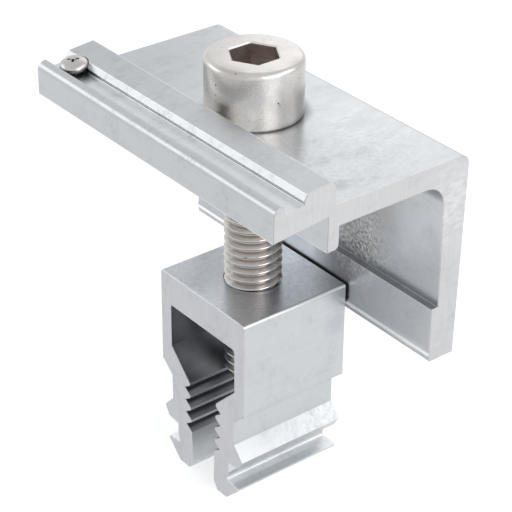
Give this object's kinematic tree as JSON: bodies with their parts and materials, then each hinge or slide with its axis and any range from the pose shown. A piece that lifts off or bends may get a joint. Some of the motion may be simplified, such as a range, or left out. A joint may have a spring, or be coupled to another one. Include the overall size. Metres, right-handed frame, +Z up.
{
  "type": "solar panel end clamp",
  "caption": "End clamp for solar panels: an L-shaped extruded bracket with a tilted clamping lip, tightened by a hex socket cap screw into a serrated click-in rail nut.",
  "frame": {"origin": "on the clamp screw's axis, at the level of the click-in nut's feet, where the nut goes into the rail", "axes": "+Z up the clamp screw towards its head, +Y along the bracket and along the rail nut's width, -X towards the panel that the lip holds down"},
  "size_m": [0.031, 0.0501, 0.0633],
  "materials": {
    "bracket_aluminium": "mill finish, as extruded",
    "nut_aluminium": "mill finish, as extruded",
    "screw_steel": "bright stainless steel",
    "bonding_steel": "bright stainless steel"
  },
  "bodies": {
    "nut": {"click_nut": "nut_aluminium"},
    "bracket": {"clamp_bracket": "bracket_aluminium", "bonding_screw": "bonding_steel"},
    "screw": {"clamp_screw": "screw_steel"}
  },
  "joints": [
    {"name": "bracket_lift", "type": "slide", "parent": "nut", "child": "bracket", "axis": [0, 0, 1], "range_m": [0, 0.00313]},
    {"name": "screw_turn", "type": "hinge", "parent": "bracket", "child": "screw", "pos_m": [0, 0, 0.0553], "axis": [0, 0, 1], "range_deg": [0, 900]}
  ],
  "couplings": [
    {"joint": "screw_turn", "follows": "bracket_lift", "rad_per_m": 5026.5}
  ]
}
